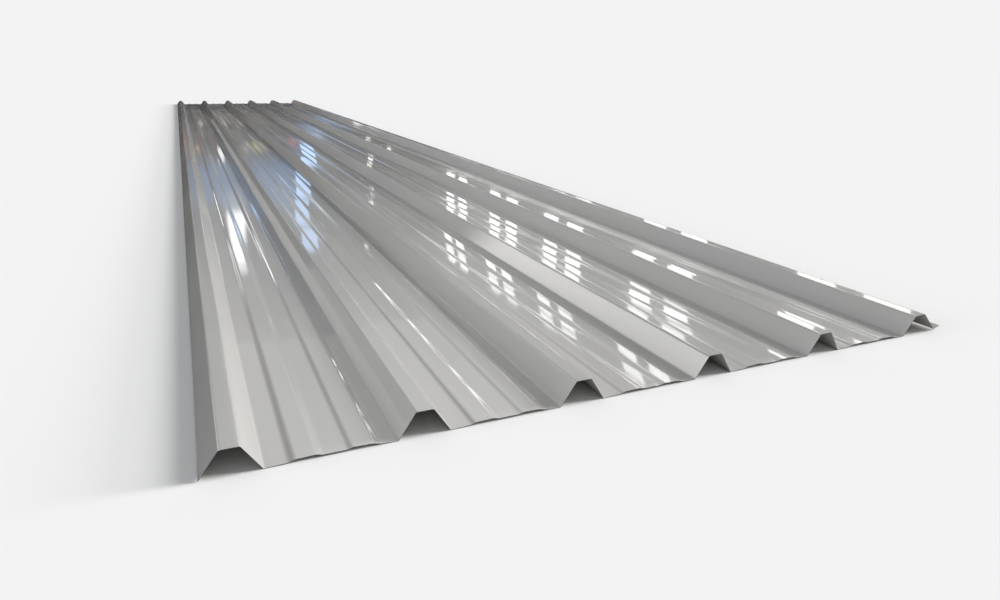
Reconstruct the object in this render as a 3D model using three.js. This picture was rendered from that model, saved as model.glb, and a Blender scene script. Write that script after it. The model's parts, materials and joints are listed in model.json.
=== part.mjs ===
// Trapezoidal rib sheet for roofs and walls, roll formed from one strip of prepainted steel.
//
// Units are millimetres, +Z is up, and the ribs run along Y. The sheet lies as it is stored and as it is laid:
// pans down, ribs up. The origin is on the underside of the middle pan, halfway along the sheet, which is where
// the sheet meets a purlin.
//
// The section is written as the path that the middle of the strip takes through the roll former: a list of
// corners, each with the inside radius of its bend. The strip is then given its thickness on both sides of that
// path, so every bend has a concentric inner and outer arc and the metal is equally thick all the way across.

import * as THREE from 'three';

// ---- the sheet as a whole ----
const sheetLength = 6000;
const metalThickness = 0.5;

// ---- the ribs ----
const ribCount = 6;
const ribPitch = 200;
const ribHeight = 30;
const crownWidth = 20;
const ribBaseWidth = 60;
const ribBendRadius = 2.5;

// ---- the low stiffening ribs in each pan ----
const stiffenersPerPan = 2;
const stiffenerSpacing = 60;
const stiffenerBaseWidth = 28;
const stiffenerTopWidth = 20;
const stiffenerHeight = 1.8;
const stiffenerBendRadius = 4;

// ---- the two long edges ----
// The overlap leg covers the neighbouring sheet and ends just clear of the pans.
const overlapLegClearance = 1;
// The underlap leg lies under the neighbouring sheet. It leans out further than a web, stops short of the pans,
// and carries a narrow lip that turns up.
const underlapLegRun = 27;
const underlapLegClearance = 2;
const lipRun = 12;
const lipRise = 4.2;
const lipBendRadius = 1.5;

// ---- facets ----
const arcDivisions = 2;

// ---- derived sizes ----
const coverWidth = (ribCount - 1) * ribPitch;
const webRun = (ribBaseWidth - crownWidth) / 2;
const panHeight = metalThickness / 2;
const crownHeight = panHeight + ribHeight;

// A corner of the strip's path: where its two straight lines would meet, and the inside radius of the bend.
function corner(x, z, bendRadius) {
  return { point: new THREE.Vector2(x, z), bendRadius };
}

// The two corners of a crown, which is the flat top of a rib.
function crownCorners(ribCentre) {
  return [
    corner(ribCentre - crownWidth / 2, crownHeight, ribBendRadius),
    corner(ribCentre + crownWidth / 2, crownHeight, ribBendRadius),
  ];
}

// One low stiffening rib in a pan: up, across its flat top, and down again.
function stiffenerCorners(centre) {
  const top = panHeight + stiffenerHeight;
  return [
    corner(centre - stiffenerBaseWidth / 2, panHeight, stiffenerBendRadius),
    corner(centre - stiffenerTopWidth / 2, top, stiffenerBendRadius),
    corner(centre + stiffenerTopWidth / 2, top, stiffenerBendRadius),
    corner(centre + stiffenerBaseWidth / 2, panHeight, stiffenerBendRadius),
  ];
}

// One pan, from the foot of the rib on its left to the foot of the rib on its right.
function panCorners(leftRibCentre) {
  const rightRibCentre = leftRibCentre + ribPitch;
  const panCentre = leftRibCentre + ribPitch / 2;
  const corners = [corner(leftRibCentre + ribBaseWidth / 2, panHeight, ribBendRadius)];
  for (let i = 0; i < stiffenersPerPan; i += 1) {
    const offset = (i - (stiffenersPerPan - 1) / 2) * stiffenerSpacing;
    corners.push(...stiffenerCorners(panCentre + offset));
  }
  corners.push(corner(rightRibCentre - ribBaseWidth / 2, panHeight, ribBendRadius));
  return corners;
}

// The whole path of the strip, from the cut edge of the overlap leg to the cut edge of the lip.
function stripPath() {
  const firstRib = -coverWidth / 2;
  const lastRib = coverWidth / 2;
  const overlapFoot = panHeight + overlapLegClearance;
  const overlapRun = webRun * (crownHeight - overlapFoot) / ribHeight;
  const path = [corner(firstRib - crownWidth / 2 - overlapRun, overlapFoot, 0)];

  for (let i = 0; i < ribCount; i += 1) {
    const ribCentre = firstRib + i * ribPitch;
    path.push(...crownCorners(ribCentre));
    if (i < ribCount - 1) {
      path.push(...panCorners(ribCentre));
    }
  }

  const legFootX = lastRib + crownWidth / 2 + underlapLegRun;
  const legFootZ = panHeight + underlapLegClearance;
  path.push(corner(legFootX, legFootZ, lipBendRadius));
  path.push(corner(legFootX + lipRun, legFootZ + lipRise, 0));
  return path;
}

// The bend at a corner, as the centre and radius of the strip's middle line and the angles at which it starts and
// ends. turn is +1 where the path turns left, which is anticlockwise, and -1 where it turns right.
function bendAt(before, here, after) {
  const incoming = here.point.clone().sub(before.point).normalize();
  const outgoing = after.point.clone().sub(here.point).normalize();
  const turn = Math.sign(incoming.cross(outgoing));
  const bendAngle = Math.acos(THREE.MathUtils.clamp(incoming.dot(outgoing), -1, 1));
  const radius = here.bendRadius + metalThickness / 2;
  const setback = radius * Math.tan(bendAngle / 2);

  const leftOfIncoming = new THREE.Vector2(-incoming.y, incoming.x);
  const start = here.point.clone().addScaledVector(incoming, -setback);
  const centre = start.addScaledVector(leftOfIncoming, turn * radius);
  const startAngle = incoming.angle() - turn * Math.PI / 2;
  return { centre, radius, turn, startAngle, endAngle: startAngle + turn * bendAngle };
}

// The closed outline of the strip: along its upper face from left to right, then back along its lower face.
function stripOutline(path) {
  const half = metalThickness / 2;
  const bends = [];
  for (let i = 1; i < path.length - 1; i += 1) {
    bends.push(bendAt(path[i - 1], path[i], path[i + 1]));
  }

  const edgeCorner = (end, next, side) => {
    const along = next.point.clone().sub(end.point).normalize();
    const across = new THREE.Vector2(-along.y, along.x);
    return end.point.clone().addScaledVector(across, side * half);
  };
  const first = path[0];
  const last = path[path.length - 1];
  const upperLeft = edgeCorner(first, path[1], 1);
  const lowerLeft = edgeCorner(first, path[1], -1);
  const upperRight = edgeCorner(last, path[path.length - 2], -1);
  const lowerRight = edgeCorner(last, path[path.length - 2], 1);

  const outline = new THREE.Shape();
  outline.moveTo(upperLeft.x, upperLeft.y);
  for (const bend of bends) {
    const radius = bend.radius - bend.turn * half;
    outline.absarc(bend.centre.x, bend.centre.y, radius, bend.startAngle, bend.endAngle, bend.turn < 0);
  }
  outline.lineTo(upperRight.x, upperRight.y);
  outline.lineTo(lowerRight.x, lowerRight.y);
  for (const bend of bends.reverse()) {
    const radius = bend.radius + bend.turn * half;
    outline.absarc(bend.centre.x, bend.centre.y, radius, bend.endAngle, bend.startAngle, bend.turn > 0);
  }
  outline.lineTo(lowerLeft.x, lowerLeft.y);
  outline.closePath();
  return outline;
}

// The sheet: the strip's outline drawn out along its length.
function makeSheet() {
  const geometry = new THREE.ExtrudeGeometry(stripOutline(stripPath()), {
    depth: sheetLength,
    bevelEnabled: false,
    curveSegments: arcDivisions,
  });
  const paintedSteel = new THREE.MeshStandardMaterial({
    color: 0xbdbcba,
    roughness: 0.22,
    metalness: 0.35,
  });
  const sheet = new THREE.Mesh(geometry, paintedSteel);
  sheet.name = 'rib_sheet';
  // The section is drawn in X and Z, so the extrusion is stood on end and then centred along Y.
  sheet.rotation.x = Math.PI / 2;
  sheet.position.y = sheetLength / 2;
  return sheet;
}

const model = new THREE.Group();
model.add(makeSheet());

export default model;
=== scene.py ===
# %% [markdown]
# # A trapezoidal rib sheet
#
# This lesson dresses one roof and wall sheet. The real object starts as a flat strip of galvanized
# steel that is painted in a coil line. A row of rollers then folds it, a little more at each stand,
# into six tall ribs, five flat pans and two low stiffening ribs in each pan. A shear cuts it to
# length, which leaves bare steel showing only along the cut edges.
#
# The solid model holds the sheet at its real size. It can't hold what the eye looks for in painted
# steel: bends that roll the light smoothly, pans that are never quite flat, a clear glossy film, and
# a thin dull cut edge. So the lesson builds a finer sheet in the same place, which stands for the
# solid one.

# %% Load the solid sheet as a fixed frame
import json
import math

import bmesh
import bpy
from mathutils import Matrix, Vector, noise

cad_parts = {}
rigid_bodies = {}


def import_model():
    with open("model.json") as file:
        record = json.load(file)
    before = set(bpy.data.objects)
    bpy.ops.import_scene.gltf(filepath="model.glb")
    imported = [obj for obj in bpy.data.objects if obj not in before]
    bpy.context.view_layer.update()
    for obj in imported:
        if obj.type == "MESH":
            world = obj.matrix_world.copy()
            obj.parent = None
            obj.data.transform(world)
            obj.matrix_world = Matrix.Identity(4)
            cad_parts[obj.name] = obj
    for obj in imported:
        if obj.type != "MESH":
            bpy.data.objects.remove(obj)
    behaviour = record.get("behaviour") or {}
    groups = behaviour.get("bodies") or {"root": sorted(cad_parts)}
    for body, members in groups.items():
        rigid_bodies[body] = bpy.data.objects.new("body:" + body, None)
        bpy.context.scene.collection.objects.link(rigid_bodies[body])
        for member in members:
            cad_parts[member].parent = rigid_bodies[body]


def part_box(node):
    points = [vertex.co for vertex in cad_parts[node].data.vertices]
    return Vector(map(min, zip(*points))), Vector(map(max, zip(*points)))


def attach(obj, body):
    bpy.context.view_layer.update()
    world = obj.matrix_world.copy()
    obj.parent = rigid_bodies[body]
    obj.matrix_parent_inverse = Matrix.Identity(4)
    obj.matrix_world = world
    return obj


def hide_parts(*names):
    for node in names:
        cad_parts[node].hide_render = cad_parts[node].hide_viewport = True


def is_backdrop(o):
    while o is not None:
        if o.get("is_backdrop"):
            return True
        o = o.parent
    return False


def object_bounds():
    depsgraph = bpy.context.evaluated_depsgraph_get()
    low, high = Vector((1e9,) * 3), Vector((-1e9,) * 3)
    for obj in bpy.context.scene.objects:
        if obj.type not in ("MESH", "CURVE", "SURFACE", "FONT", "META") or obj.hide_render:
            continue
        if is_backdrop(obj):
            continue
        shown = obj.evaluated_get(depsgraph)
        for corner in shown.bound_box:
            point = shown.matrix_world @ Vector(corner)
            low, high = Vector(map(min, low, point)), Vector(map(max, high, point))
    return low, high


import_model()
solid_low, solid_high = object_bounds()
sheet_low, sheet_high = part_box("rib_sheet")
print("solid sheet, metres:", [round(v, 4) for v in sheet_high - sheet_low])

# %% [markdown]
# ## The section
#
# Every sheet of this family is drawn as a section: the path that the middle of the strip takes across
# the sheet. The section could be typed in as a long list of points, but then no one could see a rib in
# it. Here it is walked instead, as a sheet-metal worker would read the drawing: so far across, so far
# up, then a bend. The sizes are the ones on the drawing, and the length comes from the solid.

# %% Sizes of the ribs
MM = 0.001

sheet_length = sheet_high.y - sheet_low.y
metal_thickness = 0.5 * MM

rib_count = 6
rib_pitch = 200 * MM
rib_height = 30 * MM
crown_width = 20 * MM
rib_base_width = 60 * MM
rib_bend_radius = 2.5 * MM

cover_width = (rib_count - 1) * rib_pitch
web_run = (rib_base_width - crown_width) / 2
pan_width = rib_pitch - rib_base_width
print("cover width:", round(cover_width, 3), "m, pan width:", round(pan_width, 3), "m")

# %% Sizes of the two stiffening ribs in a pan
# A stiffener's left slope is a little steeper than its right one, and both are softly bent.
stiffener_place = 25 * MM
stiffener_spacing = 60 * MM
stiffener_steep_run = 5.5 * MM
stiffener_top_width = 22 * MM
stiffener_gentle_run = 7 * MM
stiffener_height = 1.8 * MM
stiffener_bend_radius = 10 * MM

stiffener_base_width = stiffener_steep_run + stiffener_top_width + stiffener_gentle_run
pan_middle_run = stiffener_spacing - stiffener_base_width
pan_last_run = pan_width - stiffener_place - stiffener_spacing - stiffener_base_width
pan_flats = (stiffener_place, pan_middle_run, pan_last_run)
print("flats of a pan, from left to right, mm:", [round(run / MM, 1) for run in pan_flats])

# %% Sizes of the two long edges
# The left-hand leg laps over the next sheet. The right-hand one goes under it and ends in a lip. Each
# leg stops short of the floor by its clearance.
overlap_leg_clearance = 1 * MM
overlap_leg_rise = rib_height - overlap_leg_clearance
overlap_leg_run = web_run * overlap_leg_rise / rib_height

underlap_leg_clearance = 2 * MM
underlap_leg_run = 27 * MM
lip_run = 12 * MM
lip_rise = 4.2 * MM
lip_bend_radius = 1.5 * MM
print("overlap leg, mm across:", round(overlap_leg_run / MM, 1))

# %% Walk the strip from one long edge to the other
# Each leg of the walk is (across, up, inside radius of the bend at its far end).
def stiffener_legs(run_after, bend_after):
    """Up one side of a low stiffening rib, over its top, down, and along the flat that follows."""
    return [
        (stiffener_steep_run, stiffener_height, stiffener_bend_radius),
        (stiffener_top_width, 0, stiffener_bend_radius),
        (stiffener_gentle_run, -stiffener_height, stiffener_bend_radius),
        (run_after, 0, bend_after),
    ]


def pan_legs():
    """Down the web of one rib, across the pan with its stiffeners, and up the web of the next rib."""
    return [
        (web_run, -rib_height, rib_bend_radius),
        (stiffener_place, 0, stiffener_bend_radius),
        *stiffener_legs(pan_middle_run, stiffener_bend_radius),
        *stiffener_legs(pan_last_run, rib_bend_radius),
        (web_run, rib_height, rib_bend_radius),
    ]


crown_leg = (crown_width, 0, rib_bend_radius)
walk = [(overlap_leg_run, overlap_leg_rise, rib_bend_radius), crown_leg]
for _ in range(rib_count - 1):
    walk += pan_legs() + [crown_leg]
walk += [
    (underlap_leg_run, underlap_leg_clearance - rib_height, lip_bend_radius),
    (lip_run, lip_rise, 0),
]
strip_width = sum(math.hypot(across, up) for across, up, _ in walk)
print("legs:", len(walk), "flat strip before forming:", round(strip_width, 3), "m")

# %% [markdown]
# ## Corners and bends
#
# A bend has a setback: the distance from its sharp corner back to where the straight metal begins. The
# walk puts one more point a little outside each setback. Such holding points keep the shading of a
# bend from spilling over the whole flat beside it, which on a glossy sheet would make every pan look
# like a cushion. They aren't put right at the bend either: rolled metal begins to curl a millimetre or
# two before a bend, and that curl is what catches the thin bright lines beside each stiffening rib.

# %% Setback of each bend
def setback_of(leg, following):
    """How far a bend reaches back from its corner, for the middle of the metal."""
    first = Vector((leg[0], leg[1]))
    second = Vector((following[0], following[1]))
    radius = leg[2] + metal_thickness / 2
    return radius * math.tan(first.angle(second) / 2)


setbacks = [setback_of(leg, following) for leg, following in zip(walk, walk[1:])]
print("setbacks, mm:", sorted({round(s / MM, 2) for s in setbacks}))

# %% One leg of the path, with its holding points
curl_beside_bend = 1.6 * MM


def extrude_tip(shape, tip, across, up):
    """Extrudes the last point of the path by one straight step and gives the new point."""
    made = bmesh.ops.extrude_vert_indiv(shape, verts=[tip])
    bmesh.ops.translate(shape, verts=made["verts"], vec=(across, 0, up))
    return made["verts"][0]


def draw_leg(shape, tip, leg, setback_before, setback_after):
    """One straight leg, with a holding point beyond the bend at each end."""
    direction = Vector((leg[0], leg[1]))
    length = direction.length
    direction.normalize()
    curl = min(curl_beside_bend, (length - setback_before - setback_after) / 3)
    start_hold = setback_before + curl if setback_before else 0
    end_hold = setback_after + curl if setback_after else 0
    for step in (start_hold, length - start_hold - end_hold, end_hold):
        if step > 0:
            tip = extrude_tip(shape, tip, direction.x * step, direction.y * step)
    return tip


print("holding points, mm outside a bend:", round(curl_beside_bend / MM, 1))

# %% Draw the strip's path by extruding one point again and again
sheet = bmesh.new()
overlap_foot = Vector((
    -cover_width / 2 - crown_width / 2 - overlap_leg_run,
    -sheet_length / 2,
    metal_thickness / 2 + overlap_leg_clearance,
))
tip = sheet.verts.new(overlap_foot)
corners = []
for leg, before, after in zip(walk, [0] + setbacks, setbacks + [0]):
    tip = draw_leg(sheet, tip, leg, before, after)
    if after:
        corners.append((tip.co.copy(), after))
print("path points:", len(sheet.verts), "corners to bend:", len(corners))

# %% [markdown]
# ## Drawing the sheet out
#
# The path is extruded along the ribs in one step, and each corner edge is then bevelled to its own
# setback. With several segments and a profile of 0.5 the bevel is a round bend that meets the flats
# without a crease. Only after that is the length divided, because a bevel is surest on edges that run
# from end to end. The rings lie closer together near the cut ends, where the metal moves most.

# %% Extrude the path along the ribs
drawn = bmesh.ops.extrude_edge_only(sheet, edges=sheet.edges[:])
far_points = [v for v in drawn["geom"] if isinstance(v, bmesh.types.BMVert)]
bmesh.ops.translate(sheet, verts=far_points, vec=(0, sheet_length, 0))
print("strips across the section before bending:", len(sheet.faces))

# %% Roll the bends
same_place = 0.01 * MM
bend_segments = {stiffener_bend_radius: 2, rib_bend_radius: 6, lip_bend_radius: 6}


def edges_along(shape, corner):
    """The edge that runs the length of the sheet through one corner of the section."""
    found = []
    for edge in shape.edges:
        ends = [v.co for v in edge.verts]
        if all(math.hypot(p.x - corner.x, p.z - corner.z) < same_place for p in ends):
            found.append(edge)
    return found


for (corner, setback), leg in zip(corners, walk):
    bmesh.ops.bevel(
        sheet,
        geom=edges_along(sheet, corner),
        offset=setback,
        offset_type="OFFSET",
        segments=bend_segments[leg[2]],
        profile=0.5,
        affect="EDGES",
        material=-1,
    )
bmesh.ops.recalc_face_normals(sheet, faces=sheet.faces[:])
if sum(f.normal.z for f in sheet.faces) < 0:
    bmesh.ops.reverse_faces(sheet, faces=sheet.faces[:])
print("strips across the section after bending:", len(sheet.faces))

# %% Divide the length, more closely near the cut ends
# The extra rings are given by how far they lie from a cut end.
length_steps = 60
end_rings = (15 * MM, 40 * MM, 70 * MM, 150 * MM)


def length_of(edge):
    """How far an edge reaches along the ribs."""
    return abs(edge.verts[0].co.y - edge.verts[1].co.y)


lengthwise = [edge for edge in sheet.edges if length_of(edge) > sheet_length / 2]
bmesh.ops.subdivide_edges(sheet, edges=lengthwise, cuts=length_steps - 1, use_grid_fill=True)
for end in (-1, 1):
    for distance in end_rings:
        bmesh.ops.bisect_plane(
            sheet,
            geom=sheet.verts[:] + sheet.edges[:] + sheet.faces[:],
            plane_co=(0, end * (sheet_length / 2 - distance), 0),
            plane_no=(0, 1, 0),
        )
print("faces of the skin:", len(sheet.faces))

# %% [markdown]
# ## What forming leaves behind
#
# Thin coated steel is never truly flat. The pans hold a shallow bow, called oil canning, the free edges
# wander a little, and the cut ends spring: a pan arches up a little more there and the outer legs open.
# None of it comes to more than a few millimetres, yet it is what bends a reflection and makes a sheet
# look like metal and not like card. It could be sculpted by hand. Smooth noise is simpler: it is read
# at each point's own place, so it is the same on every run. The bow only lifts the pans, because the
# floor holds them up.

# %% How near a point is to a cut end, and where it lies in a pan
def nearness_to_end(point, fade):
    """One at a cut end of the sheet, dying out over a length."""
    return math.exp((abs(point.y) - sheet_length / 2) / fade)


def place_in_pan(x):
    """Which pan a point is over, and how far across it, from 0 to 1, or None on a rib."""
    from_first_rib = x + cover_width / 2
    pan = math.floor(from_first_rib / rib_pitch)
    across = (from_first_rib - pan * rib_pitch - rib_base_width / 2) / pan_width
    inside = 0 <= pan < rib_count - 1 and 0 < across < 1
    return (pan, across) if inside else None


print("the middle of the sheet lies in pan, share across:", place_in_pan(0))

# %% Bow each pan, and arch it at the cut ends
# The bow is a steady share of pan_bow, with a slow change along the pan and a skew across it.
pan_bow = 0.7 * MM
pan_bow_length = 0.9
steady_bow = 0.45
slow_change = 0.7
skew_change = 0.4
strip_tilt = 0.16 * MM
tilts_across = 4
end_arch = 1.8 * MM
end_arch_length = 0.14


def pan_noise(pan, across, along, pan_step, layer):
    """Noise along one pan. Pans lie a step apart in it, and each effect has a layer of its own."""
    return noise.noise(Vector((pan * pan_step + across, along, layer)))


def pan_lift(point):
    """Height of the oil canning at a point, which is nothing at the feet of the ribs."""
    place = place_in_pan(point.x)
    if place is None:
        return 0
    pan, across = place
    slow = pan_noise(pan, 0, point.y / pan_bow_length, pan_step=7.3, layer=0.5)
    skew = pan_noise(pan, across, point.y / (2 * pan_bow_length), pan_step=3.1, layer=4.2)
    bands = across * tilts_across
    tilt = pan_noise(pan, bands, point.y / (3 * pan_bow_length), pan_step=5.7, layer=9.1)
    bow = pan_bow * (steady_bow + slow_change * slow + skew_change * skew) + strip_tilt * tilt
    arch = end_arch * nearness_to_end(point, end_arch_length)
    return math.sin(math.pi * across) * (max(0, bow) + arch)


print("lift in the middle of the sheet, mm:", round(pan_lift(Vector((0, 0, 0))) / MM, 2))

# %% Wave the free edges, and open the outer legs at the cut ends
edge_wave = 0.9 * MM
edge_wave_length = 0.55
edges_apart = 5.0
edge_layer = 2.7
end_spring = 1.4 * MM
end_spring_length = 0.07


def edge_shift(point):
    """Sideways wander of the two free edges, which dies out towards the outermost crowns."""
    outermost_crown = cover_width / 2 + crown_width / 2
    beyond = max(0, abs(point.x) - outermost_crown)
    outwards = math.copysign(1, point.x)
    share = beyond / web_run
    place = Vector((outwards * edges_apart, point.y / edge_wave_length, edge_layer))
    wave = noise.noise(place)
    spring = nearness_to_end(point, end_spring_length)
    return share * (edge_wave * wave + outwards * end_spring * spring)


print("shift of the left front corner, mm:", round(edge_shift(overlap_foot) / MM, 2))

# %% Lean the last crown
last_crown_lean = math.radians(3.2)
lean_length = 1.8


def last_crown_lift(point):
    """The last rib has no pan to hold its outer leg, so the leg opens and its crown leans inwards."""
    from_crown_middle = point.x - cover_width / 2
    most = crown_width / 2 * math.tan(last_crown_lean) * nearness_to_end(point, lean_length)
    if abs(from_crown_middle) > rib_base_width / 2:
        return 0
    if abs(from_crown_middle) < crown_width / 2:
        return from_crown_middle / (crown_width / 2) * most
    down_the_web = (rib_base_width / 2 - abs(from_crown_middle)) / web_run
    return math.copysign(most * down_the_web, from_crown_middle)


print("lean of the last crown at its ends, degrees:", round(math.degrees(last_crown_lean), 1))

# %% Move every point of the skin
for vertex in sheet.verts:
    lift = pan_lift(vertex.co) + last_crown_lift(vertex.co)
    shift = edge_shift(vertex.co)
    vertex.co.z += lift
    vertex.co.x += shift
print("highest point of the skin, mm:", round(max(v.co.z for v in sheet.verts) / MM, 2))

# %% [markdown]
# ## Thickness and the three surfaces
#
# The skin so far is the middle of the metal. Solidify gives it half its thickness on each side and,
# through its material offsets, tells three surfaces apart on the way: the painted face, the back coat
# and the cut edge all round. That is easier and surer than picking faces by hand. The result is kept
# as a plain mesh, and every edge sharper than a bend is marked sharp, so that the cut edge doesn't
# smear its shading over the paint.

# %% Give the skin its thickness and its three surfaces
skin_mesh = bpy.data.meshes.new("sheet_skin")
sheet.to_mesh(skin_mesh)
sheet.free()
skin = bpy.data.objects.new("sheet_skin", skin_mesh)
bpy.context.scene.collection.objects.link(skin)
for name in ("painted_face", "back_coat", "cut_edge"):
    skin_mesh.materials.append(bpy.data.materials.new(name))

metal = skin.modifiers.new("metal", "SOLIDIFY")
metal.thickness = metal_thickness
metal.offset = 0
metal.use_even_offset = True
metal.material_offset = 1
metal.material_offset_rim = 2
print("metal, mm:", round(metal.thickness / MM, 2), "surfaces:", len(skin_mesh.materials))

# %% Keep the result as a plain mesh, with its sharp edges marked
sharpest_bend = math.radians(40)

graph = bpy.context.evaluated_depsgraph_get()
finished = bpy.data.meshes.new_from_object(skin.evaluated_get(graph))
finished.name = "painted_rib_sheet"
bpy.data.objects.remove(skin)
finished.shade_smooth()
finished.set_sharp_from_angle(angle=sharpest_bend)
rib_sheet = bpy.data.objects.new("painted_rib_sheet", finished)
bpy.context.scene.collection.objects.link(rib_sheet)
triangles = sum(len(p.vertices) - 2 for p in finished.polygons)
print("triangles:", triangles, "materials:", [m.name for m in finished.materials])

# %% [markdown]
# ## Patterns of rolling, paint and dust
#
# Roller lines and dust turn up on more than one surface, so each is a node group with named sockets,
# built once. The ripple of a film of paint is kept the same way, ready for any other painted surface.
# Painted pictures could hold the patterns too, but nodes stay sharp at any distance.
#
# - **Roller lines**: the rollers drag along the strip and leave faint straight lines, thousands of
#   times longer than they are wide. A noise that is squeezed across the sheet and stretched along it
#   gives them.
# - **Paint skin**: a rolled film dries with a very fine, shallow ripple.
# - **Handling dust**: a new sheet has a little dust, with cleaner streaks wiped along the ribs, because
#   sheets slide on each other lengthwise when a pack is opened.

# %% Helpers: a node group and a noise
def new_group(name, inputs, outputs):
    """A shader node group with plain number or vector inputs and number outputs."""
    group = bpy.data.node_groups.new(name, "ShaderNodeTree")
    for label, kind, value in inputs:
        socket = group.interface.new_socket(name=label, in_out="INPUT", socket_type=kind)
        if value is not None:
            socket.default_value = value
    for label in outputs:
        group.interface.new_socket(name=label, in_out="OUTPUT", socket_type="NodeSocketFloat")
    start = group.nodes.new("NodeGroupInput")
    end = group.nodes.new("NodeGroupOutput")
    return group, start, end


def add_noise(tree, vector, squeeze, scale, detail=2.0, roughness=0.5):
    """A noise whose pattern is squeezed by a different amount along each axis."""
    mapping = tree.nodes.new("ShaderNodeMapping")
    mapping.inputs["Scale"].default_value = squeeze
    tree.links.new(vector, mapping.inputs["Vector"])
    texture = tree.nodes.new("ShaderNodeTexNoise")
    texture.inputs["Scale"].default_value = scale
    texture.inputs["Detail"].default_value = detail
    texture.inputs["Roughness"].default_value = roughness
    tree.links.new(mapping.outputs["Vector"], texture.inputs["Vector"])
    return texture.outputs["Fac"]


print("helpers:", [helper.__name__ for helper in (new_group, add_noise)])

# %% Helpers: arithmetic on a pattern
def add_math(tree, operation, first, second, clamp=False):
    """One Math node. Either input may be a socket or a number."""
    node = tree.nodes.new("ShaderNodeMath")
    node.operation = operation
    node.use_clamp = clamp
    for socket, value in zip(node.inputs, (first, second)):
        if isinstance(value, (int, float)):
            socket.default_value = value
        else:
            tree.links.new(value, socket)
    return node.outputs["Value"]


def add_range(tree, value, between, gives=(0.0, 1.0)):
    """A clamped Map Range node: the two levels it reads between, and what it gives at each."""
    node = tree.nodes.new("ShaderNodeMapRange")
    labels = ("From Min", "From Max", "To Min", "To Max")
    for label, number in zip(labels, (*between, *gives)):
        node.inputs[label].default_value = number
    tree.links.new(value, node.inputs["Value"])
    return node.outputs["Result"]


print("helpers:", [helper.__name__ for helper in (add_math, add_range)])

# %% Roller lines
def build_roller_lines():
    """Height of the drag lines that the rollers leave: broad ones, with fine ones on top."""
    group, start, end = new_group(
        "Roller lines",
        [("Vector", "NodeSocketVector", None), ("Fine share", "NodeSocketFloat", 0.3)],
        ["Height"],
    )
    vector = start.outputs["Vector"]
    along_ribs = (1.0, 0.004, 1.0)
    broad = add_noise(group, vector, squeeze=along_ribs, scale=130.0, detail=1.0)
    fine = add_noise(group, vector, squeeze=along_ribs, scale=420.0, detail=2.0)
    fine_part = add_math(group, "MULTIPLY", fine, start.outputs["Fine share"])
    group.links.new(add_math(group, "ADD", broad, fine_part), end.inputs["Height"])
    return group


roller_lines = build_roller_lines()
print("group:", roller_lines.name, [s.name for s in roller_lines.interface.items_tree])

# %% Paint skin
def build_paint_skin():
    """Height of the shallow ripple that a film of paint dries with."""
    group, start, end = new_group(
        "Paint skin",
        [("Vector", "NodeSocketVector", None), ("Ripple size", "NodeSocketFloat", 260.0)],
        ["Height"],
    )
    ripple = group.nodes.new("ShaderNodeTexNoise")
    ripple.inputs["Detail"].default_value = 1.5
    group.links.new(start.outputs["Vector"], ripple.inputs["Vector"])
    group.links.new(start.outputs["Ripple size"], ripple.inputs["Scale"])
    group.links.new(ripple.outputs["Fac"], end.inputs["Height"])
    return group


paint_skin = build_paint_skin()
print("group:", paint_skin.name, [s.name for s in paint_skin.interface.items_tree])

# %% Handling dust
def build_handling_dust():
    """Where dust lies, from 0 to 1: cloudy patches, broken by streaks wiped along the ribs."""
    group, start, end = new_group(
        "Handling dust",
        [("Vector", "NodeSocketVector", None), ("Amount", "NodeSocketFloat", 0.5)],
        ["Dust"],
    )
    vector = start.outputs["Vector"]
    clouds = add_noise(group, vector, (1.0, 0.45, 1.0), scale=4.0, detail=5.0, roughness=0.6)
    streaks = add_noise(group, vector, (1.0, 0.02, 1.0), scale=60.0, detail=3.0)
    specks = add_noise(group, vector, (1.0, 0.8, 1.0), scale=520.0, detail=1.0)
    patches = add_range(group, clouds, between=(0.42, 0.72))
    wiped = add_range(group, streaks, between=(0.38, 0.62), gives=(0.35, 1.0))
    grains = add_range(group, specks, between=(0.45, 0.75), gives=(0.6, 1.0))
    lying = add_math(group, "MULTIPLY", add_math(group, "MULTIPLY", patches, wiped), grains)
    amount = add_math(group, "MULTIPLY", lying, start.outputs["Amount"], clamp=True)
    group.links.new(amount, end.inputs["Dust"])
    return group


handling_dust = build_handling_dust()
print("group:", handling_dust.name, [s.name for s in handling_dust.interface.items_tree])

# %% [markdown]
# ## The painted face
#
# The face is a light grey polyester coat, baked on and glossy. Two reflections lie on top of each
# other in such a film: a sharp one from its clear surface, and a hazy one from the pigment just under
# it. The Principled shader gives both, with its coat over its own rougher gloss. The colour barely
# changes over the sheet, so the finish is carried by the bumps and by the places where dust dulls the
# gloss. Only the crowns are a shade darker. That is painted shade: the low lamp lights the crowns
# more than the pans, and the darker grey holds them back.

# %% Helpers: a material of the sheet, and a shared group placed in it
def clean_tree(name):
    """The node tree of a material of the sheet, with its shader, ready to be filled."""
    material = bpy.data.materials[name]
    material.use_nodes = True
    tree = material.node_tree
    tree.nodes.clear()
    output = tree.nodes.new("ShaderNodeOutputMaterial")
    shader = tree.nodes.new("ShaderNodeBsdfPrincipled")
    tree.links.new(shader.outputs["BSDF"], output.inputs["Surface"])
    place = tree.nodes.new("ShaderNodeTexCoord").outputs["Object"]
    return tree, shader, place


def use_group(tree, group, place, **values):
    """Places a shared group in a material, with its own values, and gives its output."""
    node = tree.nodes.new("ShaderNodeGroup")
    node.node_tree = group
    tree.links.new(place, node.inputs["Vector"])
    for label, number in values.items():
        node.inputs[label.replace("_", " ")].default_value = number
    return node.outputs[0]


print("helpers:", [helper.__name__ for helper in (clean_tree, use_group)])

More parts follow.
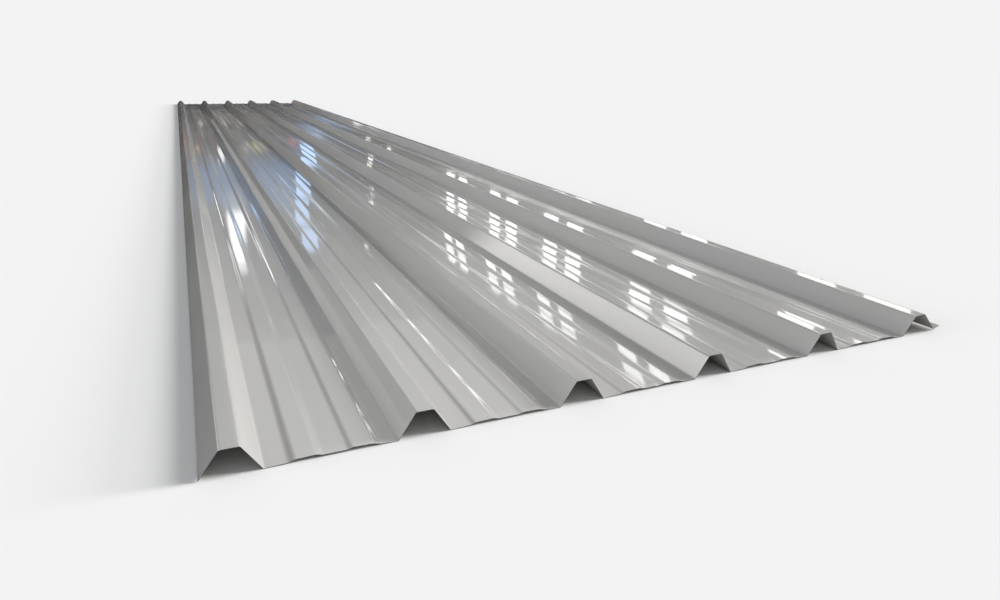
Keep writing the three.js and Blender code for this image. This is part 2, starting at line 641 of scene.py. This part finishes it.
# %% Helpers: mixed colours and bumps
def mix_colours(tree, factor, first, second):
    """A Mix node for two colours. A colour may be a socket or three numbers."""
    node = tree.nodes.new("ShaderNodeMix")
    node.data_type = "RGBA"
    tree.links.new(factor, node.inputs["Factor"])
    for socket, colour in ((node.inputs["A"], first), (node.inputs["B"], second)):
        if isinstance(colour, tuple):
            socket.default_value = (*colour, 1.0)
        else:
            tree.links.new(colour, socket)
    return node.outputs["Result"]


def add_bump(tree, height, depth, below=None):
    """A bump of a real depth in metres, laid over the one below it."""
    node = tree.nodes.new("ShaderNodeBump")
    node.inputs["Strength"].default_value = 1.0
    node.inputs["Distance"].default_value = depth
    tree.links.new(height, node.inputs["Height"])
    if below is not None:
        tree.links.new(below, node.inputs["Normal"])
    return node.outputs["Normal"]


print("helpers:", [helper.__name__ for helper in (mix_colours, add_bump)])

# %% Colour of the top coat, with painted shade on the crowns
paint_grey = (0.490, 0.484, 0.473)
paint_grey_cool = (0.463, 0.460, 0.455)
# Painted shade: the crowns get a darker grey so they render no lighter than the pans.
crown_shade_grey = (0.402, 0.398, 0.390)
crown_shade_heights = (28.4 * MM, 30.0 * MM)


def top_coat_colour(tree, place):
    """Two drifting greys over the sheet, and a darker grey on the crowns as painted shade."""
    batches = add_noise(tree, place, squeeze=(1.0, 0.2, 1.0), scale=2.2, detail=2.0)
    drift = add_range(tree, batches, between=(0.35, 0.65))
    colour = mix_colours(tree, drift, paint_grey, paint_grey_cool)
    parts = tree.nodes.new("ShaderNodeSeparateXYZ")
    tree.links.new(place, parts.inputs["Vector"])
    crown_shade_mask = add_range(tree, parts.outputs["Z"], between=crown_shade_heights)
    return mix_colours(tree, crown_shade_mask, colour, crown_shade_grey)


print("paint on the pans:", paint_grey, "on the crowns:", crown_shade_grey)

# %% Glossy grey top coat
dust_grey = (0.50, 0.485, 0.45)
pigment_haze = (0.30, 0.40)
dulling_by_dust = 0.25
thinnest_gloss = 0.55
gloss_roughness = 0.046
paint_ior = 1.5
drag_line_depth = 0.045 * MM
ripple_depth = 0.0016 * MM


def finish_painted_face():
    """Light grey baked polyester, glossy, with drag lines, a faint ripple and a little dust."""
    tree, shader, place = clean_tree("painted_face")
    dust = use_group(tree, handling_dust, place, Amount=0.5)
    lines = use_group(tree, roller_lines, place, Fine_share=0.25)
    ripple = use_group(tree, paint_skin, place, Ripple_size=260.0)

    coat_colour = top_coat_colour(tree, place)
    tree.links.new(mix_colours(tree, dust, coat_colour, dust_grey), shader.inputs["Base Color"])

    haze = add_range(tree, lines, between=(0.4, 0.9), gives=pigment_haze)
    dusty_haze = add_math(tree, "MULTIPLY", dust, dulling_by_dust)
    dulled = add_math(tree, "ADD", haze, dusty_haze, clamp=True)
    tree.links.new(dulled, shader.inputs["Roughness"])
    gloss = add_range(tree, dust, between=(0.0, 0.6), gives=(1.0, thinnest_gloss))
    tree.links.new(gloss, shader.inputs["Coat Weight"])

    rolled = add_bump(tree, lines, drag_line_depth)
    rippled = add_bump(tree, ripple, ripple_depth, below=rolled)
    tree.links.new(rippled, shader.inputs["Normal"])

    shader.inputs["Metallic"].default_value = 0.0
    shader.inputs["IOR"].default_value = paint_ior
    shader.inputs["Coat Roughness"].default_value = gloss_roughness
    shader.inputs["Coat IOR"].default_value = paint_ior


finish_painted_face()
print("painted_face nodes:", len(bpy.data.materials["painted_face"].node_tree.nodes))

# %% [markdown]
# ## The back coat
#
# The underside gets one thin coat of plain grey-beige primer. It is matt, and the zinc's texture comes
# through it a little. Only the insides of the ribs show it while the sheet lies on a floor. A flat
# matt grey would do from afar. Two greys, mixed by a patchy noise, keep it true from close by.

# %% Matt primer on the underside
back_grey = (0.36, 0.355, 0.335)
back_grey_thin = (0.30, 0.300, 0.290)
primer_roughness = (0.48, 0.62)
primer_line_depth = 0.03 * MM


def finish_back_coat():
    """Thin matt primer over zinc, with the same drag lines as the face."""
    tree, shader, place = clean_tree("back_coat")
    dust = use_group(tree, handling_dust, place, Amount=0.8)
    lines = use_group(tree, roller_lines, place, Fine_share=0.6)
    patches = add_noise(tree, place, squeeze=(1.0, 0.3, 1.0), scale=30.0, detail=4.0)
    thin = add_range(tree, patches, between=(0.4, 0.7))
    coat_colour = mix_colours(tree, thin, back_grey, back_grey_thin)
    tree.links.new(mix_colours(tree, dust, coat_colour, dust_grey), shader.inputs["Base Color"])
    dull = add_range(tree, lines, between=(0.4, 1.1), gives=primer_roughness)
    tree.links.new(dull, shader.inputs["Roughness"])
    tree.links.new(add_bump(tree, lines, primer_line_depth), shader.inputs["Normal"])
    shader.inputs["Metallic"].default_value = 0.0


finish_back_coat()
print("back_coat nodes:", len(bpy.data.materials["back_coat"].node_tree.nodes))

# %% [markdown]
# ## The cut edge
#
# A shear squeezes the metal before it breaks it, so a cut edge has a bright squeezed band and a dull
# broken one, both within half a millimetre. The zinc is only smeared over it, and it soon darkens to a
# grey brown. Two bands that thin could be modelled, but no one would see them: a fine grain across the
# edge and a patchy tint are enough at this size.

# %% Bare sheared steel
bare_steel = (0.26, 0.245, 0.22)
darkened_steel = (0.11, 0.10, 0.085)
bare_metallic = 0.7
darkened_metallic = 0.25
grain_depth = 0.02 * MM
evenly = (1.0, 1.0, 1.0)


def finish_cut_edge():
    """Sheared steel that has begun to darken."""
    tree, shader, place = clean_tree("cut_edge")
    dust = use_group(tree, handling_dust, place, Amount=0.6)
    grain = add_noise(tree, place, squeeze=evenly, scale=1400.0, detail=2.0)
    stain = add_noise(tree, place, squeeze=evenly, scale=55.0, detail=4.0)
    darkened = add_range(tree, stain, between=(0.35, 0.6))
    steel = mix_colours(tree, darkened, bare_steel, darkened_steel)
    tree.links.new(mix_colours(tree, dust, steel, dust_grey), shader.inputs["Base Color"])
    rough = add_range(tree, grain, between=(0.3, 0.7), gives=(0.35, 0.6))
    tree.links.new(rough, shader.inputs["Roughness"])
    metallic = add_range(tree, darkened, (0.0, 1.0), gives=(bare_metallic, darkened_metallic))
    tree.links.new(metallic, shader.inputs["Metallic"])
    tree.links.new(add_bump(tree, grain, grain_depth), shader.inputs["Normal"])


finish_cut_edge()
print("cut_edge nodes:", len(bpy.data.materials["cut_edge"].node_tree.nodes))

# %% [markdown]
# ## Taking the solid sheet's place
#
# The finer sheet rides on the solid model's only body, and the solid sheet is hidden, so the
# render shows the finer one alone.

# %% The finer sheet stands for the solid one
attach(rib_sheet, "root")
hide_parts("rib_sheet")
print("rides on root, in place of rib_sheet")

# %% [markdown]
# ## Floor
#
# The sheet lies on a plain pale floor under soft light. The floor is one large matt square with no
# gloss of its own, so it takes the sheet's shadow and nothing else, and its grey is set so that it
# meets the backdrop without a line.

# %% Plain floor
floor_size = 400.0
floor_white = (0.876, 0.876, 0.876)


def new_mesh_object(name, shape):
    """Makes an object of a bmesh, and marks it as part of the stage."""
    mesh = bpy.data.meshes.new(name)
    shape.to_mesh(mesh)
    shape.free()
    made = bpy.data.objects.new(name, mesh)
    bpy.context.scene.collection.objects.link(made)
    made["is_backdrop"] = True
    return made


floor_shape = bmesh.new()
bmesh.ops.create_grid(floor_shape, x_segments=1, y_segments=1, size=floor_size / 2)
floor = new_mesh_object("floor", floor_shape)
floor_material = bpy.data.materials.new("pale_floor")
floor_material.use_nodes = True
floor_shader = floor_material.node_tree.nodes["Principled BSDF"]
floor_shader.inputs["Base Color"].default_value = (*floor_white, 1.0)
floor_shader.inputs["Roughness"].default_value = 1.0
floor_shader.inputs["Specular IOR Level"].default_value = 0.0
floor.data.materials.append(floor_material)
print("floor:", floor_size, "m")

# %% [markdown]
# ## Reflection cards
#
# A glossy sheet shows its surroundings as much as its own colour. In an empty white studio it would
# turn to chalk, because at a low angle the film reflects most of what it sees. A whole hall could be
# modelled around it, but the film only shows it squeezed and blurred. So reflection cards stand around
# the sheet, as a studio would set them: plain grey walls and a ceiling, each with a glow of its own.
# They are seen only by reflections. They cast no light on the paint and no shadow, and the camera
# doesn't see them.

# %% A glowing material
def new_glow(name):
    """A material with one emission shader, never sampled as a lamp, and its node tree."""
    material = bpy.data.materials.new(name)
    material.use_nodes = True
    tree = material.node_tree
    tree.nodes.clear()
    glow = tree.nodes.new("ShaderNodeEmission")
    output = tree.nodes.new("ShaderNodeOutputMaterial")
    tree.links.new(glow.outputs["Emission"], output.inputs["Surface"])
    material.cycles.emission_sampling = "NONE"
    return material, tree, glow, output


def plain_glow(name, colour, strength):
    """The same glow all over."""
    material, _, glow, _ = new_glow(name)
    glow.inputs["Color"].default_value = (*colour, 1.0)
    glow.inputs["Strength"].default_value = strength
    return material


print("helpers:", [helper.__name__ for helper in (new_glow, plain_glow)])

# %% A wall's glow, which changes with height
band_squeeze = (0.25, 0.25, 2.5)
band_strength = (0.55, 1.45)


def fill_ramp(ramp, grades, top):
    """Sets a colour ramp to (height, colour, strength) grades, up to a top height."""
    stops = ramp.color_ramp.elements
    while len(stops) < len(grades):
        stops.new(0.5)
    for stop, (height, colour, strength) in zip(stops, grades):
        stop.position = height / top
        stop.color = (*[c * strength for c in colour], 1.0)


def graded_glow(name, grades, top):
    """A glow that follows its grades from the floor to the top, with faint level bands in it."""
    material, tree, glow, _ = new_glow(name)
    place = tree.nodes.new("ShaderNodeTexCoord").outputs["Object"]
    split = tree.nodes.new("ShaderNodeSeparateXYZ")
    tree.links.new(place, split.inputs["Vector"])
    ramp = tree.nodes.new("ShaderNodeValToRGB")
    share_of_top = add_math(tree, "DIVIDE", split.outputs["Z"], top, clamp=True)
    tree.links.new(share_of_top, ramp.inputs["Fac"])
    fill_ramp(ramp, grades, top)
    tree.links.new(ramp.outputs["Color"], glow.inputs["Color"])
    bands = add_noise(tree, place, band_squeeze, scale=1.6, detail=4.0, roughness=0.65)
    changing = add_range(tree, bands, between=(0.3, 0.7), gives=band_strength)
    tree.links.new(changing, glow.inputs["Strength"])
    return material


print("bands change a wall's glow by", band_strength)

# %% A reflection card
def add_card(name, low, high, material):
    """A flat card between two corners that share one coordinate."""
    low, high = Vector(low), Vector(high)
    size = high - low
    flat_axis = min(range(3), key=lambda axis: abs(size[axis]))
    shape = bmesh.new()
    bmesh.ops.create_cube(shape, size=1.0)
    spare = [v for v in shape.verts if v.co[flat_axis] > 0]
    bmesh.ops.delete(shape, geom=spare, context="VERTS")
    scale = [size[axis] if axis != flat_axis else 0 for axis in range(3)]
    bmesh.ops.scale(shape, verts=shape.verts, vec=scale)
    bmesh.ops.translate(shape, verts=shape.verts, vec=(low + high) / 2)
    card = new_mesh_object(name, shape)
    card.data.materials.append(material)
    card.visible_camera = False
    card.visible_diffuse = False
    card.visible_shadow = False
    card.visible_transmission = False


def cards_named(start):
    """How many cards have a name that starts so."""
    return sum(o.name.startswith(start) for o in bpy.data.objects)


print("cards so far:", cards_named("card_"))

# %% Glow of the walls, from the floor up
# Each grade is (height in metres, colour, strength).
neutral = (1.0, 1.0, 1.0)
warm = (1.0, 0.93, 0.86)
wall_head = (7.0, neutral, 0.35)
right_grades = [
    (0.0, neutral, 0.010),
    (1.0, warm, 0.02),
    (1.6, warm, 0.04),
    (2.6, neutral, 0.065),
    (5.0, neutral, 0.13),
    wall_head,
]
left_grades = [
    (0.0, neutral, 0.45),
    (0.7, neutral, 0.38),
    (1.4, neutral, 0.16),
    (3.0, neutral, 0.18),
    (5.0, neutral, 0.20),
    wall_head,
]
far_left_grades = [
    (0.0, neutral, 0.02),
    (0.5, neutral, 0.05),
    (1.4, warm, 0.13),
    (3.0, neutral, 0.17),
    (5.0, neutral, 0.20),
    wall_head,
]
far_grades = [
    (0.0, warm, 0.0),
    (1.4, warm, 0.003),
    (2.4, neutral, 0.015),
    (3.4, neutral, 0.06),
    (5.0, neutral, 0.13),
    wall_head,
]
print("all walls end at", wall_head[0], "m with a strength of", wall_head[2])

# %% Walls, ceiling and floor of the card room
ceiling = wall_head[0]
wall_x = 6.02
near_end = -12.0
far_end = 14.0
far_split = -1.4
ceiling_split = -0.15
below_floor = -0.002
daylight_white = (1.0, 1.0, 0.98)

right_glow = graded_glow("card_right", right_grades, ceiling)
left_glow = graded_glow("card_left", left_grades, ceiling)
far_left_glow = graded_glow("card_far_left", far_left_grades, ceiling)
far_glow = graded_glow("card_end", far_grades, ceiling)
bright_top_glow = plain_glow("card_ceiling", daylight_white, 0.72)
dim_top_glow = plain_glow("card_dim_ceiling", daylight_white, 0.30)
dark_floor_glow = plain_glow("card_floor", (1.0, 0.97, 0.92), 0.03)

room_cards = [
    ("card_right", (wall_x, near_end, 0), (wall_x, far_end, ceiling), right_glow),
    ("card_left", (-wall_x, near_end, 0), (-wall_x, far_end, ceiling), left_glow),
    ("card_far_left", (-wall_x, far_end, 0), (far_split, far_end, ceiling), far_left_glow),
    ("card_far", (far_split, far_end, 0), (wall_x, far_end, ceiling), far_glow),
    ("card_near", (-wall_x, near_end, 0), (wall_x, near_end, ceiling), left_glow),
    ("card_top_left", (-wall_x, near_end, ceiling), (ceiling_split, far_end, ceiling), dim_top_glow),
    ("card_top", (ceiling_split, near_end, ceiling), (wall_x, far_end, ceiling), bright_top_glow),
    ("card_floor", (-wall_x, near_end, below_floor), (wall_x, far_end, below_floor), dark_floor_glow),
]
for name, low, high, material in room_cards:
    add_card(name, low, high, material)
floor.visible_glossy = False
print("cards of the room:", cards_named("card_"), "and the last stands in for the floor")

# %% [markdown]
# ## Windows, openings and goods
#
# What makes the film look wet is the crisp row of bright panes in it, drawn out by each stiffener into
# thin lines. The panes are cards too, just in front of a wall, and clear: they only add their light to
# what lies behind them. A first reflection sees them and a second one doesn't, because by way of a
# tall web they would throw hard streaks into the pans. Goods, covers and a gate at the far end show
# only as soft tints, so each is a patch whose glow fades towards its border.

# %% A glow that adds to what lies behind it
glossy_depth_limit = 1.5


def added_glow(name, colour, strength):
    """A clear card's glow. Strength is a number, or a function that builds it in the node tree."""
    material, tree, glow, output = new_glow(name)
    reflections = tree.nodes.new("ShaderNodeLightPath").outputs["Glossy Depth"]
    first = add_math(tree, "LESS_THAN", reflections, glossy_depth_limit)
    level = strength(tree) if callable(strength) else strength
    glow.inputs["Color"].default_value = (*colour, 1.0)
    tree.links.new(add_math(tree, "MULTIPLY", first, level), glow.inputs["Strength"])
    clear = tree.nodes.new("ShaderNodeBsdfTransparent")
    both = tree.nodes.new("ShaderNodeAddShader")
    tree.links.new(glow.outputs["Emission"], both.inputs[0])
    tree.links.new(clear.outputs["BSDF"], both.inputs[1])
    tree.links.new(both.outputs["Shader"], output.inputs["Surface"])
    return material


print("seen below a glossy depth of", glossy_depth_limit)

# %% Window panes in front of the right-hand wall
off_wall = 0.02
window_sill = 2.37
window_head = 5.0
pane_rows = 5
sash_width = 0.52
sash_gap = 0.34
glazing_bar = 0.07
window_places = [-9.3, -6.6, -3.9, -1.35, 1.2, 4.1, 6.98, 9.55, 12.35]
daylight = added_glow("daylight_pane", daylight_white, 4.0)


def add_window(centre_y):
    """Two tall sashes side by side, each a ladder of panes, just in front of the wall."""
    face = wall_x - off_wall
    pane_height = (window_head - window_sill) / pane_rows
    for sign in (-1, 1):
        middle = centre_y + sign * (sash_width + sash_gap) / 2
        for row in range(pane_rows):
            bottom = window_sill + row * pane_height + glazing_bar / 2
            top = bottom + pane_height - glazing_bar
            low = (face, middle - sash_width / 2, bottom)
            add_card("window_pane", low, (face, middle + sash_width / 2, top), daylight)


for centre in window_places:
    add_window(centre)
print("window panes:", cards_named("window_pane"))

# %% Sky panes and small bright panes at the far end
far_face = far_end - off_wall
sky_blue = added_glow("sky_pane", (0.44, 0.66, 1.0), 1.9)
sky_pane_width = 0.38
sky_pane_height = 0.71
# Each sky pane is given by (x, z) of its lower left corner.
sky_panes = [(2.27, 1.62), (2.11, 2.39), (2.03, 3.16), (2.18, 3.93)]
for left, bottom in sky_panes:
    high = (left + sky_pane_width, far_face, bottom + sky_pane_height)
    add_card("sky_pane", (left, far_face, bottom), high, sky_blue)

small_daylight = added_glow("small_pane", daylight_white, 2.6)
small_pane_width = 0.13
small_pane_height = 0.12
# Each small pane is given by (x, z) of the middle of its lower side.
small_panes = [
    (4.08, 1.55), (4.66, 1.84), (4.14, 2.05), (4.10, 2.27),
    (4.17, 2.94), (4.09, 3.35), (4.01, 4.45), (4.06, 4.82),
]
for middle, bottom in small_panes:
    low = (middle - small_pane_width / 2, far_face, bottom)
    high = (middle + small_pane_width / 2, far_face, bottom + small_pane_height)
    add_card("small_pane", low, high, small_daylight)
print("sky panes:", cards_named("sky_pane"), "small panes:", cards_named("small_pane"))

# %% A glow that fades towards its card's border
def vector_step(tree, operation, vector, by=None):
    """One Vector Math node on a vector, with a fixed second vector where it needs one."""
    node = tree.nodes.new("ShaderNodeVectorMath")
    node.operation = operation
    if by is not None:
        node.inputs[1].default_value = by
    tree.links.new(vector, node.inputs[0])
    return node.outputs["Vector"]


def soft_glow(name, low, high, colour, strength, fade):
    """An added glow that dies out over the outer share of a card between two corners."""
    low, high = Vector(low), Vector(high)
    middle, half = (low + high) / 2, (high - low) / 2

    def fading(tree):
        """The strength, which falls to nothing at the card's border."""
        place = tree.nodes.new("ShaderNodeTexCoord").outputs["Object"]
        from_middle = vector_step(tree, "SUBTRACT", place, by=middle)
        shares = [1 / h if h else 0 for h in half]
        share_out = vector_step(tree, "MULTIPLY", from_middle, by=shares)
        split = tree.nodes.new("ShaderNodeSeparateXYZ")
        tree.links.new(vector_step(tree, "ABSOLUTE", share_out), split.inputs["Vector"])
        level = strength
        for axis in "XYZ":
            inside = add_range(tree, split.outputs[axis], (1.0 - fade, 1.0), gives=(1.0, 0.0))
            level = add_math(tree, "MULTIPLY", inside, level)
        return level

    return added_glow(name, colour, fading)


def add_soft_card(name, low, high, colour, strength, fade):
    """A card with a soft border."""
    add_card(name, low, high, soft_glow(name, low, high, colour, strength, fade))


print("helpers:", [helper.__name__ for helper in (vector_step, soft_glow, add_soft_card)])

# %% Soft patches at the far end: pale walls, covers, a gate, lights and stacked goods
# Each patch is (name, x from, x to, z from, z to, colour, strength, share of it that fades). Each
# hangs a little in front of the last, so that no two lie in one plane.
deep_blue = (0.14, 0.46, 1.0)
sky_tint = (0.45, 0.66, 1.0)
patch_step = 0.006
far_patches = [
    ("pale_wall", -0.60, 3.30, 3.30, 5.80, neutral, 0.03, 0.5),
    ("pale_wall", 2.50, 3.40, 1.70, 2.50, (1.0, 0.95, 0.85), 0.14, 0.6),
    ("pale_band", -0.34, 1.90, 0.82, 1.20, (1.0, 0.76, 0.62), 0.13, 0.5),
    ("blue_cover", -0.80, 1.00, 1.85, 3.35, deep_blue, 0.36, 0.60),
    ("blue_cover", 0.75, 2.35, 1.85, 3.70, deep_blue, 0.38, 0.55),
    ("blue_cover", 2.10, 3.05, 1.00, 1.75, sky_tint, 0.40, 0.7),
    ("blue_cover", 2.50, 3.80, 0.84, 1.38, sky_tint, 0.34, 0.6),
    ("gate_halo", 0.20, 0.95, 2.60, 3.90, (0.80, 0.90, 1.0), 0.42, 0.8),
    ("white_gate", 0.27, 0.78, 3.22, 4.75, neutral, 2.6, 0.35),
    ("white_gate", 0.36, 0.72, 4.20, 5.10, neutral, 2.0, 0.5),
    ("gate_slit", 0.22, 0.40, 1.66, 2.10, neutral, 1.5, 0.35),
    ("roof_light", -1.96, -1.62, 2.50, 3.00, neutral, 3.2, 0.45),
    ("roof_light", -2.18, -1.80, 2.86, 3.42, neutral, 3.2, 0.45),
    ("roof_light", -2.18, -1.56, 3.80, 5.50, (0.92, 0.97, 1.0), 4.5, 0.35),
    ("roof_haze", -3.20, -2.50, 4.50, 5.70, neutral, 0.5, 0.5),
    ("faint_column", 4.05, 4.22, 2.80, 3.50, neutral, 0.25, 0.3),
    ("red_stock", -0.80, -0.42, 1.25, 2.10, (1.0, 0.26, 0.20), 0.48, 0.6),
    ("red_stock", 1.92, 2.18, 1.45, 1.80, (1.0, 0.16, 0.18), 0.60, 0.7),
    ("red_stock", 1.60, 1.95, 1.38, 1.60, (1.0, 0.45, 0.40), 0.20, 0.7),
    ("orange_stock", -0.28, -0.14, 1.55, 1.82, (1.0, 0.55, 0.25), 0.45, 0.7),
    ("orange_stock", 0.82, 1.02, 1.56, 1.80, (1.0, 0.70, 0.50), 0.40, 0.7),
    ("orange_stock", 1.28, 1.48, 1.60, 1.82, (1.0, 0.60, 0.35), 0.40, 0.7),
    ("warm_stock", 0.76, 1.46, 1.56, 1.90, (1.0, 0.78, 0.50), 0.20, 0.5),
    ("green_stock", 1.02, 1.34, 1.52, 1.86, (0.72, 0.80, 0.25), 0.42, 0.7),
    ("pale_stock", -0.18, 0.04, 1.00, 1.20, (1.0, 0.92, 0.84), 0.50, 0.7),
    ("pale_stock", 0.36, 0.54, 1.03, 1.20, (1.0, 0.90, 0.80), 0.36, 0.7),
    ("pale_stock", 0.70, 0.92, 1.04, 1.22, (1.0, 0.80, 0.74), 0.40, 0.7),
    ("pale_stock", 2.55, 2.90, 1.36, 1.62, (1.0, 0.85, 0.86), 0.28, 0.7),
]
for number, patch in enumerate(far_patches, start=1):
    name, left, right, bottom, top, colour, strength, fade = patch
    depth = far_face - number * patch_step
    add_soft_card(name, (left, depth, bottom), (right, depth, top), colour, strength, fade)
print("soft patches at the far end:", len(far_patches))

# %% A strip of lights on the left, and a bright roof and wall head on the right
# Each is (name, low corner, high corner, colour, strength, share that fades). The roof and the wall
# head run on past the room's upper corner, so that both are brightest near it.
head_off_wall = 0.03
left_face = -wall_x + off_wall
right_face = wall_x - head_off_wall
roof_face = ceiling - off_wall
room_patches = [
    ("left_strip", (left_face, -3.0, 3.2), (left_face, 12.5, 5.3), (1.0, 0.98, 0.94), 3.9, 0.25),
    ("bright_roof", (-3.5, 1.0, roof_face), (12.0, 11.8, roof_face), neutral, 0.45, 0.65),
    ("bright_wall_head", (right_face, -2.0, 5.4), (right_face, 12.5, 8.6), neutral, 0.40, 0.65),
]
for name, low, high, colour, strength, fade in room_patches:
    add_soft_card(name, low, high, colour, strength, fade)
print("soft patches along the room:", len(room_patches))

# %% [markdown]
# ## Light
#
# The diffuse light is plain and soft: a dim white world, a wide key from the window side, a low lamp on
# the same side and a weaker low fill from the other side. Area lamps would fall off along six metres of
# sheet, so all three are suns with a wide, soft disc. The key brightens the right-facing webs, leaves
# the left-facing ones in a darker tone and lays a soft shadow at the foot of each rib. The low lamp
# skims the pans and mostly lifts the right-facing webs. All lamps are hidden from reflections, because
# the cards already stand for them there. The levels are set so that a colour renders about as it is
# written.

# %% World: a dim one for the sheet, and a pale backdrop for the view and for reflections
world_light = 0.36
world_tint = (0.98, 0.99, 1.0, 1.0)
backdrop_white = 0.895

world = bpy.data.worlds.new("plain_studio")
bpy.context.scene.world = world
world.use_nodes = True
sky = world.node_tree
sky.nodes.clear()
sky_output = sky.nodes.new("ShaderNodeOutputWorld")
rays = sky.nodes.new("ShaderNodeLightPath").outputs
seen = add_math(sky, "ADD", rays["Is Camera Ray"], rays["Is Glossy Ray"])
seen = add_math(sky, "ADD", seen, rays["Is Transmission Ray"], clamp=True)
ambient = sky.nodes.new("ShaderNodeBackground")
ambient.inputs["Color"].default_value = world_tint
ambient.inputs["Strength"].default_value = world_light
backdrop = sky.nodes.new("ShaderNodeBackground")
backdrop.inputs["Color"].default_value = (1.0, 1.0, 1.0, 1.0)
backdrop.inputs["Strength"].default_value = backdrop_white
blend = sky.nodes.new("ShaderNodeMixShader")
sky.links.new(seen, blend.inputs["Fac"])
sky.links.new(ambient.outputs["Background"], blend.inputs[1])
sky.links.new(backdrop.outputs["Background"], blend.inputs[2])
sky.links.new(blend.outputs["Shader"], sky_output.inputs["Surface"])
print("world:", world_light, "backdrop:", backdrop_white)

# %% Key, low lamp and fill
def add_soft_sun(name, colour, strength, height, turn, softness):
    """An even lamp, hidden from reflections. Its angles are in degrees, and a turn of 0 is +X."""
    data = bpy.data.lights.new(name, "SUN")
    data.color = colour
    data.energy = strength
    data.angle = math.radians(softness)
    lamp = bpy.data.objects.new(name, data)
    lamp.rotation_euler = (0, math.radians(90 - height), math.radians(turn))
    lamp.visible_glossy = False
    bpy.context.scene.collection.objects.link(lamp)


# Each lamp is (name, colour, strength, height, turn, softness).
lamps = [
    ("soft_key", (1.0, 0.995, 0.985), 2.85, 30, -5, 22),
    ("soft_low", (1.0, 0.985, 0.97), 2.20, 12.5, -5, 12),
    ("soft_fill", (0.94, 0.97, 1.0), 0.95, 12.5, 172, 20),
]
for name, colour, strength, height, turn, softness in lamps:
    add_soft_sun(name, colour, strength, height, turn, softness)
    print(name, "strength:", strength, "height:", height, "turn:", turn)

# %% [markdown]
# ## Camera
#
# The view is low and close to the near end, from just left of the first rib, with a wide lens, so that
# the ribs run away to a point above the sheet's far left corner. A longer lens from further back would
# show the ribs more evenly and lose that depth. A small shift frames the sheet without tilting the
# view.

# %% Low wide view along the ribs
camera_place = (-0.511, -3.598, 0.388)
camera_turn = (73.135, -0.809, -22.6)
camera_lens = 23.77
camera_sensor = 36.0
camera_shift = (0.0375, -0.0364)
camera_clip = (0.02, 500.0)

camera_data = bpy.data.cameras.new("view_along_ribs")
camera_data.lens = camera_lens
camera_data.sensor_width = camera_sensor
camera_data.shift_x, camera_data.shift_y = camera_shift
camera_data.clip_start, camera_data.clip_end = camera_clip
camera = bpy.data.objects.new("view_along_ribs", camera_data)
camera.location = camera_place
camera.rotation_euler = [math.radians(a) for a in camera_turn]
bpy.context.scene.collection.objects.link(camera)
bpy.context.scene.camera = camera
bpy.context.scene.view_settings.view_transform = "Standard"
print("camera lens:", camera_lens, "mm")

# %% [markdown]
# ## Measuring and finishing
#
# The dressed sheet is measured as the solid one was, and the difference of the two boxes is printed.
# It reaches a little further sideways and up, by what the edges wander and the crowns lean.

# %% Sizes of the solid and of the dressed sheet
dressed_low, dressed_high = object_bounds()
over = [round((d - s) / MM, 2) for d, s in zip(dressed_high, solid_high)]
print("dressed minus solid, mm:", over)
